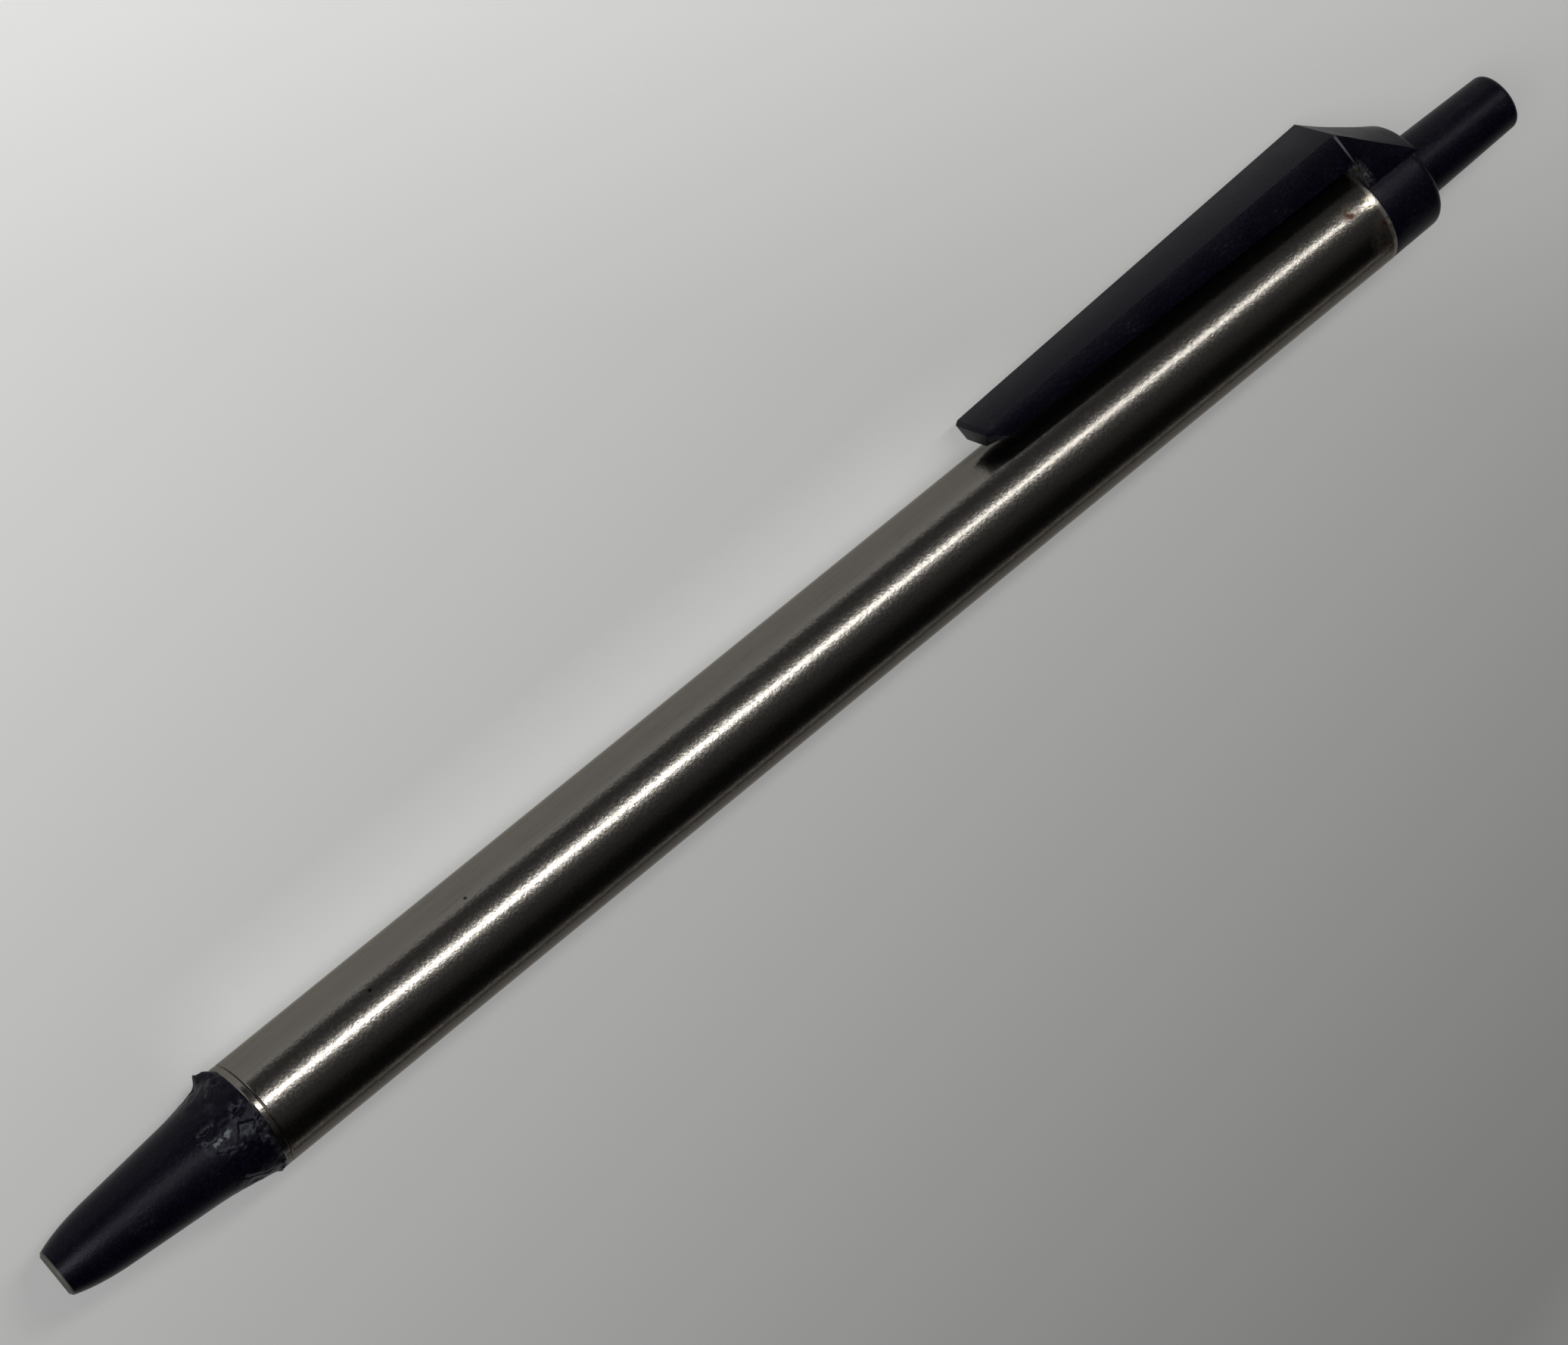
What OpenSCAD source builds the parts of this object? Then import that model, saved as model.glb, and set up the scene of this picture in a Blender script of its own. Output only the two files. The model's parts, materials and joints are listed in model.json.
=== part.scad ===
// Retractable ballpoint pen: metal tube barrel, moulded nose cone, cap with clip, push button,
// turning cam mechanism, return spring and refill. Every piece is drawn along its own z axis,
// mouth at z = 0 and button at the far end, with the clip towards +y, then laid along +X.

/* [Barrel] */
// Outside diameter of the metal tube
barrel_d = 8.5; // [8.3:0.05:9.6]
// Length of the tube between the nose cone and the cap
barrel_len = 108.85; // [104:0.05:120]
// Wall thickness of the tube
barrel_wall = 0.4; // [0.3:0.02:0.45]
// Width of the rolled lip at the nose end
lip_w = 0.5; // [0.3:0.05:1]
// Depth of the fine groove behind the lip
lip_groove = 0.1; // [0.04:0.01:0.16]
// Bevel on the tube's end edges
tube_bevel = 0.12; // [0.05:0.01:0.2]

/* [Nose cone] */
// Length of the cone that shows in front of the tube
nose_len = 17.4; // [15:0.1:22]
// Wall of the mouth around the point's bore
mouth_wall = 0.6; // [0.45:0.05:0.9]
// Rounding of the mouth's outer edge
mouth_edge = 0.2; // [0.1:0.05:0.3]
// Length of the rounded front of the cone
ogive_len = 5; // [4:0.1:6]
// Wall outside the spring at the end of the rounded front
spring_wall = 0.63; // [0.5:0.01:0.9]
// Length of the hollow flare that widens to the tube
flare_len = 5.4; // [4:0.1:7]
// Width of the rounded rim at the wide end of the flare
rim_len = 1.4; // [0.8:0.1:2]
// How far the rim stays inside the tube's outside
rim_step = 0.1; // [0.05:0.01:0.2]
// Length of the spigot inside the tube
spigot_len = 9; // [6:0.1:12]
// Depth of the spring's seat behind the mouth
seat_z = 6.2; // [5.8:0.1:8]

/* [Cap and clip] */
// Length of the cap beyond the tube
cap_len = 5.1; // [4.6:0.1:8]
// How far the cap's foot stays inside the tube's outside
cap_step = 0.02; // [0.01:0.01:0.1]
// Draft of the cap's side over its length
cap_draft = 0.04; // [0.02:0.01:0.1]
// Rounding of the cap's end edge
cap_round = 0.85; // [0.5:0.05:1.3]
// Thickness of the cap's roof around the button
cap_roof = 1.85; // [1.4:0.05:2.4]
// Wall of the cap around the guide sleeve
cap_wall = 0.62; // [0.5:0.02:0.75]
// Length of the clip from its free end to its ridge
clip_len = 35.98; // [25:0.1:50]
// Distance of the ridge in front of the tube's end
ridge_back = 0.53; // [0.2:0.05:2]
// Height of the clip's top above the tube at the free end
clip_end_rise = 2.51; // [2.2:0.05:3.2]
// Height of the clip's top above the tube at the ridge
clip_ridge_rise = 3.86; // [3.3:0.05:5]
// Width of the clip's top at the free end
clip_end_w = 3.78; // [2.5:0.05:4.5]
// Width of the clip's top at the ridge
clip_ridge_w = 4.64; // [3:0.05:5.4]
// Lean of the clip's side faces away from upright
clip_lean = 9; // [4:0.5:15]
// How far the clip's root stands proud of the arm's sides
root_step = 0.06; // [0.02:0.01:0.15]
// Gap between the clip and the tube at the free end
clip_end_gap = 1.12; // [1:0.02:1.4]
// Gap between the clip and the tube at the root
clip_root_gap = 0.95; // [0.8:0.05:1.2]
// Bevel of the clip's free end
clip_bevel = 0.3; // [0.15:0.05:0.6]
// How far back the free end's lower corners are cut away
corner_len = 1.6; // [0.6:0.1:2.5]
// How far in the free end's lower corners are cut away
corner_w = 0.9; // [0.4:0.1:1.3]
// Gap between the clip's gripping rib and the tube
rib_gap = 0.62; // [0.58:0.02:0.8]
// Radius of the gripping rib
rib_r = 0.85; // [0.75:0.05:0.95]
// Distance of the gripping rib from the clip's free end
rib_back = 2.6; // [1.8:0.1:6]
// Length of the gripping rib across the clip
rib_w = 2.2; // [1.6:0.1:3]
// How far the clip's root stands above the cap at the cap's end
root_rear = 0.56; // [0.4:0.02:0.8]
// How far the clip is rolled round the barrel from straight up
clip_roll = -93; // [-180:0.1:180]

/* [Button] */
// Diameter of the button where it leaves the cap
button_d = 5.16; // [4.9:0.02:5.3]
// Diameter of the button's end before its rounding
button_end_d = 4.7; // [4.3:0.02:5]
// How far the button stands out of the cap at rest
button_out = 10; // [9:0.1:13]
// Length of the button inside the cap at rest, below the roof
button_root = 2.5; // [2:0.1:3]
// Rounding of the button's end edge
button_edge = 0.55; // [0.3:0.05:1]
// Travel of the button
press_stroke = 7; // [6:0.1:7.5]

/* [Turning cam] */
// How deep the sleeve's guide grooves are
groove_depth = 0.49; // [0.4:0.01:0.55]
// Width of each guide groove, in degrees
groove_deg = 40; // [36:1:44]
// Width of each spline of the cam, in degrees
spline_deg = 16; // [12:1:18]
// Slope of the saw teeth, in degrees
tooth_slope = 30; // [20:1:30]
// Turn of the cam over one stroke, in degrees
cam_turn = 30; // [30:1:30]
// How much less than the button the cam and refill travel
refill_lag = 0.8; // [0.8:0.02:1]
// Length of the cam's splines
spline_len = 5; // [4:0.1:7]
// Depth of the cam's socket on the refill tube
socket_len = 4; // [3:0.1:6]
// Distance from the refill's end to the cam's teeth
cam_rise = 8.5; // [7.6:0.1:10]
// Length of the cam's pilot pin beyond its teeth
pilot_len = 4; // [3:0.1:6]
// Diameter of the cam's pilot pin
pilot_d = 2.6; // [2.2:0.05:2.8]
// Length of the plunger from its saw teeth to the button's foot
crown_len = 7.65; // [7.4:0.05:10]
// Length of the plunger's guide keys
key_len = 5; // [4:0.1:5.2]
// Length of the plunger's stem inside the button
stem_len = 8; // [5:0.1:10]
// Diameter of the plunger's stem
stem_d = 3.2; // [2.6:0.05:3.4]

/* [Refill] */
// How far the ball stays behind the mouth at rest
point_inset = 3; // [2:0.1:3.6]
// Diameter of the writing ball
ball_d = 1; // [0.7:0.05:1.2]
// Diameter of the point's shank
point_d = 2.3; // [2.1:0.05:2.4]
// Length of the point from the ball to its rear end
point_len = 14; // [12:0.1:16]
// Length of the point's cone
point_cone_len = 2.6; // [2:0.1:3]
// Distance from the ball to the holder's collar
collar_from_tip = 24; // [22:0.1:28]
// Thickness of the holder's collar
collar_len = 1.6; // [1:0.1:3]
// Diameter of the ink tube
tube_d = 3.2; // [3:0.05:3.4]
// Wall of the ink tube
tube_wall = 0.45; // [0.3:0.05:0.5]
// Length of the ink behind the holder
ink_len = 58; // [20:1:66]
// Length of the grease plug behind the ink
grease_len = 4; // [2:0.5:8]

/* [Spring] */
// Thickness of the spring's wire
spring_wire = 0.4; // [0.3:0.02:0.44]
// Diameter of the spring, wire centre to wire centre
spring_d = 3.5; // [3.44:0.02:3.6]
// Number of turns
spring_turns = 11; // [6:1:12]

/* [Clearances] */
// Radial clearance of pieces pressed or seated in one another
seat_fit = 0.02; // [0.01:0.005:0.03]
// Radial clearance of pieces that slide or turn in one another
run_fit = 0.07; // [0.05:0.01:0.1]
// End clearance between pieces that stop against one another
stop_fit = 0.05; // [0.03:0.01:0.1]
// Room around the spring
spring_room = 0.15; // [0.1:0.01:0.2]

/* [Hidden] */
$fn = 72;
cut = 0.5;

// Stations along the pen, counted from the mouth
z_tube = nose_len;
z_cap = z_tube + barrel_len;
z_end = z_cap + cap_len;
z_roof = z_end - cap_roof;
z_button = z_end + button_out;
z_mid = z_tube + barrel_len / 2;
z_tip = point_inset;
z_collar = z_tip + collar_from_tip;
z_ink = z_collar + collar_len;
refill_travel = press_stroke - refill_lag;

// Radii from the outside in
barrel_r = barrel_d / 2;
barrel_ir = barrel_r - barrel_wall;
spigot_r = barrel_ir - seat_fit;
rim_r = barrel_r - rim_step;
cap_foot_r = barrel_r - cap_step;
cap_top_r = cap_foot_r - cap_draft;
cap_bore_r = cap_foot_r - cap_draft - cap_wall;

// Stations and heights of the clip
z_ridge = z_cap - ridge_back;
z_free = z_ridge - clip_len;
end_top = barrel_r + clip_end_rise;
ridge_top = barrel_r + clip_ridge_rise;
end_foot = barrel_r + clip_end_gap;
root_foot = barrel_r + clip_root_gap;
rear_r = cap_top_r + root_rear;

// Radii from the refill out
point_r = point_d / 2;
point_bore_r = point_r + run_fit;
mouth_r = point_bore_r + mouth_wall;
spring_or = (spring_d + spring_wire) / 2;
spring_ir = (spring_d - spring_wire) / 2;
spring_bore_r = spring_or + spring_room;
ogive_r = spring_bore_r + spring_wall;
holder_r = spring_ir - spring_room;
collar_r = spring_or + 2 * spring_room;
wide_bore_r = collar_r + 2 * spring_room;
tube_r = tube_d / 2;
tube_ir = tube_r - tube_wall;
feed_r = point_r / 2;

// Radii of the mechanism
button_r = button_d / 2;
guide_r = button_r + run_fit;
groove_r = guide_r + groove_depth;
key_r = groove_r - run_fit;
crown_r = button_r - run_fit;
pilot_r = pilot_d / 2;
tooth_rise = tan(tooth_slope);

// Stations of the mechanism, counted from the cap's roof down to the end of the refill
groove_pitch = 360 / 3;
z_button_foot = z_roof - button_root;
z_crown = z_button_foot - crown_len;
z_cam = z_crown - refill_lag - stop_fit;
z_refill = z_cam - cam_rise;
z_cam_foot = z_refill - socket_len;
tooth_amp = tooth_rise * crown_r * sin(30);
side_play = 0.7;
spline_mid = spline_deg / 2 + side_play - groove_deg / 2;
spline_amp = tooth_rise * key_r * sin(spline_deg / 2);
z_spline = z_cam - tooth_amp - spline_amp;
z_spline_top = z_spline + spline_amp;
z_spline_foot = z_spline_top - spline_len;
clear_turn = groove_deg - spline_deg - 2 * side_play;
rib_hold = refill_travel * clear_turn / cam_turn - 0.5;
rib_deg = groove_pitch - groove_deg;
rib_amp = tooth_rise * groove_r * sin(rib_deg / 4);
z_rib = z_spline_top - rib_hold + rib_amp;
z_sleeve = z_spline_foot - refill_travel - 1;
z_key = z_crown + tooth_amp + 1;
z_key_top = z_key + key_len;
z_stop = z_key_top + stop_fit;

// Arc of n steps that leaves p at heading a and ends at q, in [z, r]
function arc(p, a, q, n) = let(
    c = atan2(q[1] - p[1], q[0] - p[0]),
    d = (c - a + 540) % 360 - 180,
    l = norm(q - p))
  [for (i = [1:n]) let(s = abs(d) < 0.01 ? i / n : sin(d * i / n) / sin(d))
    p + l * s * [cos(a + d * i / n), sin(a + d * i / n)]];

// Turns [z, r] stations into the [x, y] points of a revolved profile
function turned(points) = [for (p = points) [p[1], p[0]]];

// Lays a piece that is drawn along z along the pen's axis in its place
module laid() {
  rotate([clip_roll, 0, 0])
    rotate([90, 0, 90])
      translate([0, 0, -z_mid])
        children();
}

// Revolved solid from [z, r] stations
module lathe(points) {
  rotate_extrude() polygon(turned(points));
}

// Straight cylinder between two stations
module rod(r, z0, z1) {
  translate([0, 0, z0]) cylinder(r = r, h = z1 - z0);
}

// Flat wedge of a ring, centred on the x axis, from well inside radius r to well outside it
module wedge(r, deg) {
  inner = 0.2 * r * [cos(deg / 2), sin(deg / 2)];
  outer = 2 * r * [cos(deg / 2), sin(deg / 2)];
  polygon([[inner[0], -inner[1]], [outer[0], -outer[1]], outer, inner]);
}

// Wedge-shaped block from z0 up to z1
module sector(r, mid, deg, z0, z1) {
  rotate([0, 0, mid])
    translate([0, 0, z0])
      linear_extrude(z1 - z0) wedge(r, deg);
}

// Saw tooth: a wedge whose top is a plane that climbs with the angle and passes z at its middle
module tooth(r, mid, deg, z0, z) {
  reach = 8 * r;
  intersection() {
    sector(r, mid, deg, z0, z + reach / 2);
    translate([0, 0, z])
      rotate([0, 0, mid])
        rotate([tooth_slope, 0, 0])
          translate([0, -reach / 2, -reach])
            cube(reach);
  }
}

// Ring of six saw teeth of radius r, each a hair wider than its share so that they fuse
module tooth_ring(r, first, z0, z) {
  for (i = [0:5])
    intersection() {
      rod(r, z0, z + r);
      tooth(r, first + 60 * i, 60.2, z0, z);
    }
}

// Metal tube with a rolled lip and a fine groove at its nose end
module barrel_tube() {
  z_lip = z_tube + lip_w;
  color([0.62, 0.60, 0.57])
    laid()
      lathe([[z_tube, barrel_ir], [z_tube, barrel_r - tube_bevel], [z_tube + tube_bevel, barrel_r],
        [z_lip, barrel_r], [z_lip + lip_groove, barrel_r - lip_groove], [z_lip + 2 * lip_groove, barrel_r],
        [z_cap - tube_bevel, barrel_r], [z_cap, barrel_r - tube_bevel], [z_cap, barrel_ir]]);
}

// Nose cone: rounded front, straight taper, hollow flare and a spigot inside the tube
module nose_cone() {
  waist_z = z_tube - flare_len;
  waist_r = ogive_r + (rim_r - ogive_r) * 0.42;
  taper = atan2(waist_r - ogive_r, waist_z - ogive_len);
  flare_z = z_tube - rim_len;
  flare_r = rim_r - 0.12 * rim_len;
  front = arc([ogive_len, ogive_r], 180 + taper, [mouth_edge, mouth_r], 10);
  edge = arc([mouth_edge, mouth_r], 245, [0, mouth_r - mouth_edge], 4);
  flare = arc([waist_z, waist_r], taper, [flare_z, flare_r], 8);
  rim = arc([flare_z, flare_r], 13, [z_tube, rim_r], 5);
  z_spigot = z_tube + spigot_len;
  z_wide = z_collar - refill_travel - 3;
  lead = 0.5;
  color([0.06, 0.06, 0.065])
    laid()
      lathe(concat(
        [for (i = [len(edge) - 1:-1:0]) edge[i]],
        [for (i = [len(front) - 1:-1:0]) front[i]],
        [[ogive_len, ogive_r], [waist_z, waist_r]],
        flare,
        rim,
        [[z_tube, spigot_r], [z_spigot - lead, spigot_r], [z_spigot, spigot_r - lead],
          [z_spigot, wide_bore_r], [z_wide, wide_bore_r], [z_wide - 1, spring_bore_r],
          [seat_z, spring_bore_r], [seat_z, point_bore_r + 0.3], [seat_z - 0.8, point_bore_r],
          [0, point_bore_r]]));
}

// Outside of the cap, with its draft and rounded end edge
module cap_body() {
  z_round = z_end - cap_round;
  round_r = cap_top_r - cap_round;
  lathe(concat(
    [[z_cap, 0], [z_cap, cap_foot_r], [z_round, cap_top_r]],
    arc([z_round, cap_top_r], 0, [z_end, round_r], 8),
    [[z_end, 0]]));
}

// Side view of the clip, in [z, height above the axis]
module clip_side() {
  rear = [z_end - 0.5, rear_r + 0.25];
  slope = arc([z_ridge, ridge_top], -43, rear, 6);
  nose = arc(rear, -24, [z_end, rear_r - 0.4], 4);
  polygon(concat(
    [[z_free + clip_bevel, end_top], [z_ridge, ridge_top]],
    slope,
    nose,
    [[z_end, cap_bore_r - cut], [z_cap, cap_bore_r - cut], [z_cap, root_foot - 0.3],
      [z_cap - 0.3, root_foot], [z_free, end_foot], [z_free, end_top - clip_bevel]]));
}

// Rib under the free end that grips the cloth
module clip_rib() {
  rotate([0, -90, 0])
    linear_extrude(rib_w, center = true)
      translate([z_free + rib_back, barrel_r + rib_gap + rib_r]) circle(rib_r);
}

// Turned shape that the clip's root is rounded to behind the ridge
module root_round() {
  wide = 2 * ridge_top;
  corner = norm([ridge_top, clip_ridge_w / 2 + root_step]) + 0.1;
  rear = [z_end - 0.5, rear_r];
  lathe(concat(
    [[z_free - 1, 0], [z_free - 1, wide], [z_ridge, wide], [z_ridge, corner]],
    arc([z_ridge, corner], -43, rear, 6),
    arc(rear, -24, [z_end, rear_r - 0.75], 4),
    [[z_end, 0]]));
}

// Everything beyond the plane through three points, on the side that they turn round anticlockwise
module beyond(a, b, c) {
  n = cross(b - a, c - a);
  block = 3 * clip_len;
  translate(a)
    rotate([0, acos(n[2] / norm(n)), atan2(n[1], n[0])])
      translate([-block / 2, -block / 2, 0])
        cube(block);
}

// Everything outside the leaning side face of the clip on +x, with the face moved out by grow
module side_cut(grow) {
  ridge = [clip_ridge_w / 2 + grow, ridge_top, z_ridge];
  front = [clip_end_w / 2 + grow, end_top, z_free + clip_bevel];
  beyond(ridge, ridge - [tan(-clip_lean), 1, 0], front);
}

// Lower corner of the free end on +x
module corner_cut() {
  foot_w = clip_end_w / 2 + (end_top - end_foot) * tan(clip_lean);
  beyond([clip_end_w / 2, end_top - clip_bevel, z_free], [foot_w, end_foot, z_free + corner_len],
    [foot_w - corner_w, end_foot, z_free]);
}

// The clip between its leaning side faces, moved out by grow
module clip_arm(grow) {
  difference() {
    rotate([0, -90, 0])
      linear_extrude(4 * clip_ridge_w, center = true) clip_side();
    for (side = [0, 1])
      mirror([side, 0, 0]) {
        side_cut(grow);
        corner_cut();
      }
  }
}

// The part of the clip over the cap, a hair wider than the arm
module clip_root() {
  block = 4 * clip_ridge_w;
  intersection() {
    clip_arm(root_step);
    translate([-block / 2, -block / 2, z_ridge])
      cube([block, 2 * block, block]);
  }
}

// Cap and clip, one moulding
module clip_cap() {
  color([0.05, 0.05, 0.055])
    laid()
      difference() {
        union() {
          cap_body();
          clip_rib();
          intersection() {
            union() {
              clip_arm(0);
              clip_root();
            }
            root_round();
          }
        }
        rod(cap_bore_r, z_cap - cut, z_roof);
        rod(guide_r, z_cap - cut, z_end + cut);
      }
}

// Sleeve inside the tube and the cap, with three guide grooves and saw-toothed ribs between them
module guide_sleeve() {
  neck_r = cap_bore_r - seat_fit;
  z_open = z_sleeve - cut;
  color([0.80, 0.80, 0.78])
    laid()
      difference() {
        union() {
          rod(spigot_r, z_sleeve, z_cap);
          rod(neck_r, z_cap - cut, z_roof - stop_fit);
        }
        rod(guide_r, z_open, z_end);
        for (i = [0:2])
          intersection() {
            rod(groove_r, z_open, z_stop);
            union() {
              sector(groove_r, groove_pitch * i, groove_deg, z_open - cut, z_stop + cut);
              for (mid = [groove_pitch * (i + 0.5) - rib_deg / 4, groove_pitch * (i + 0.5) + rib_deg / 4])
                tooth(groove_r, mid, rib_deg / 2 + 0.2, z_open - cut, z_rib);
            }
          }
      }
}

// Push button with a tapered outside and a socket for the plunger's stem
module push_button() {
  end_r = button_end_d / 2;
  edge = arc([z_button - button_edge, end_r], 0, [z_button, end_r - button_edge], 6);
  z_socket = z_button_foot + stem_len + stop_fit;
  stem_r = stem_d / 2 + seat_fit;
  color([0.06, 0.06, 0.065])
    laid()
      lathe(concat(
        [[z_button_foot, stem_r], [z_button_foot, button_r], [z_end, button_r]],
        [[z_button - button_edge, end_r]],
        edge,
        [[z_button, 0], [z_socket, 0], [z_socket, stem_r]]));
}

// Plunger: stem in the button, three guide keys and a crown of saw teeth that drives the cam
module plunger() {
  stem_r = stem_d / 2;
  bore_r = pilot_r + run_fit;
  z_bore = z_cam + pilot_len + 1;
  color([0.86, 0.86, 0.84])
    laid()
      difference() {
        union() {
          rod(crown_r, z_crown - tooth_amp, z_button_foot);
          rod(stem_r, z_button_foot - cut, z_button_foot + stem_len);
          for (i = [0:2])
            intersection() {
              rod(key_r, z_key, z_key_top);
              sector(key_r, groove_pitch * i, groove_deg - 4, z_key - cut, z_key_top + cut);
            }
        }
        tooth_ring(crown_r + cut, 0, z_crown - 4 * tooth_amp, z_crown);
        rod(bore_r, z_crown - 2 * tooth_amp, z_bore);
      }
}

// Turning cam: socket on the refill tube, three splines, six saw teeth and a pilot pin
module cam_rotor() {
  color([0.86, 0.86, 0.84])
    laid()
      difference() {
        union() {
          rod(crown_r, z_cam_foot, z_cam - tooth_amp);
          tooth_ring(crown_r, -cam_turn, z_cam - 2 * tooth_amp, z_cam);
          rod(pilot_r, z_cam - 2 * tooth_amp, z_cam + pilot_len);
          for (i = [0:2])
            intersection() {
              rod(key_r, z_spline_foot, z_spline_top);
              tooth(key_r, groove_pitch * i + spline_mid, spline_deg, z_spline_foot - cut, z_spline);
            }
        }
        rod(tube_r + run_fit, z_cam_foot - cut, z_refill + stop_fit);
      }
}

// Return spring between the nose cone's seat and the holder's collar, wound closer at its ends
spring_z0 = seat_z + spring_wire / 2 + stop_fit;
spring_z1 = z_collar - spring_wire / 2 - stop_fit;
spring_steps = 8 * spring_turns;
end_crowding = 0.45;
function spring_at(u) = [spring_d / 2 * cos(360 * spring_turns * u), spring_d / 2 * sin(360 * spring_turns * u),
  spring_z0 + (spring_z1 - spring_z0) * (u - end_crowding * sin(360 * u) / 360 * 57.2958)];
spring_path = [for (i = [0:spring_steps]) spring_at(i / spring_steps)];
spring_gap = min([for (i = [0:spring_steps - 6]) for (j = [i + 6:spring_steps])
  norm(spring_path[i] - spring_path[j])]) - spring_wire;
echo(spring_least_gap_mm = spring_gap);

module return_spring() {
  sides = 6;
  rings = [for (i = [0:spring_steps]) let(
      p = spring_path[i],
      ahead = spring_path[min(i + 1, spring_steps)],
      behind = spring_path[max(i - 1, 0)],
      t = (ahead - behind) / norm(ahead - behind),
      out = [p[0], p[1], 0] / norm([p[0], p[1], 0]),
      n = (out - (out * t) * t) / norm(out - (out * t) * t),
      b = cross(t, n))
    for (k = [0:sides - 1]) p + spring_wire / 2 * (cos(60 * k) * n + sin(60 * k) * b)];
  last = spring_steps * sides;
  color([0.75, 0.75, 0.76])
    laid()
      polyhedron(rings, concat(
        [for (k = [1:sides - 2]) [0, k, k + 1]],
        [for (i = [0:spring_steps - 1]) for (k = [0:sides - 1]) let(m = (k + 1) % sides)
          each [[i * sides + k, (i + 1) * sides + k, (i + 1) * sides + m],
            [i * sides + k, (i + 1) * sides + m, i * sides + m]]],
        [for (k = [1:sides - 2]) [last, last + k + 1, last + k]]));
}

// Translucent ink tube of the refill
module ink_tube() {
  color([0.85, 0.86, 0.84])
    laid()
      lathe([[z_ink, tube_ir], [z_ink, tube_r], [z_refill, tube_r], [z_refill, tube_ir]]);
}

// Ink in the tube, and the thread of it that feeds the point
module ink_column() {
  ink_r = tube_ir - seat_fit;
  z_point = z_tip + point_len + stop_fit;
  z_holder = z_ink + 4.5 + stop_fit;
  color([0.05, 0.07, 0.35])
    laid()
      lathe([[z_point, 0], [z_point, feed_r - seat_fit], [z_holder, feed_r - seat_fit], [z_holder, ink_r],
        [z_ink + ink_len, ink_r], [z_ink + ink_len, 0]]);
}

// Grease plug that follows the ink
module grease_follower() {
  z_grease = z_ink + ink_len + stop_fit;
  color([0.85, 0.80, 0.55])
    laid()
      rod(tube_ir - seat_fit, z_grease, z_grease + grease_len);
}

// Holder that joins the point to the tube, with the collar that the spring pushes on
module tip_holder() {
  z_front = seat_z + refill_travel + 0.6;
  z_point = z_tip + point_len;
  color([0.90, 0.90, 0.88])
    laid()
      lathe([[z_front, point_r + seat_fit], [z_front, holder_r], [z_collar, holder_r], [z_collar, collar_r],
        [z_ink, collar_r], [z_ink, tube_ir - seat_fit], [z_ink + 4.5, tube_ir - seat_fit],
        [z_ink + 4.5, feed_r], [z_point, feed_r], [z_point, point_r + seat_fit]]);
}

// Metal point: a cone that holds the ball, a shank and the ink bore
module point_cone() {
  ball_r = ball_d / 2;
  lip_z = z_tip + 0.35 * ball_d;
  z_ball = z_tip + ball_r;
  color([0.78, 0.66, 0.36])
    laid()
      difference() {
        lathe([[lip_z, 0], [lip_z, ball_r + 0.04], [lip_z + point_cone_len, point_r],
          [z_tip + point_len, point_r], [z_tip + point_len, 0]]);
        translate([0, 0, z_ball]) sphere(ball_r + seat_fit);
        rod(ball_r / 2, z_ball, z_tip + point_len - 6);
        rod(feed_r, z_tip + point_len - 6, z_tip + point_len + cut);
      }
}

// Writing ball
module writing_ball() {
  color([0.55, 0.55, 0.56])
    laid()
      translate([0, 0, z_tip + ball_d / 2]) sphere(ball_d / 2);
}

barrel_tube();
nose_cone();
clip_cap();
guide_sleeve();
push_button();
plunger();
cam_rotor();
return_spring();
ink_tube();
ink_column();
grease_follower();
tip_holder();
point_cone();
writing_ball();
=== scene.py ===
# %% [markdown]
# A retractable ballpoint pen lies on pale paper: a drawn steel tube, a black nose cone that somebody has
# chewed, a black cap that is one moulding with its pocket clip, and a black push button. The refill, the
# spring and the turning cam are inside. The solids come from the pen's CAD model and stay where they are.
# This lesson adds the camera, the light, the finishes and the shapes that use and wear gave the outside.

# %% Load the solids
import json
from math import atan2, cos, degrees, exp, hypot, pi, radians, sin

import bpy
from mathutils import Matrix, Vector, noise

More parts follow.
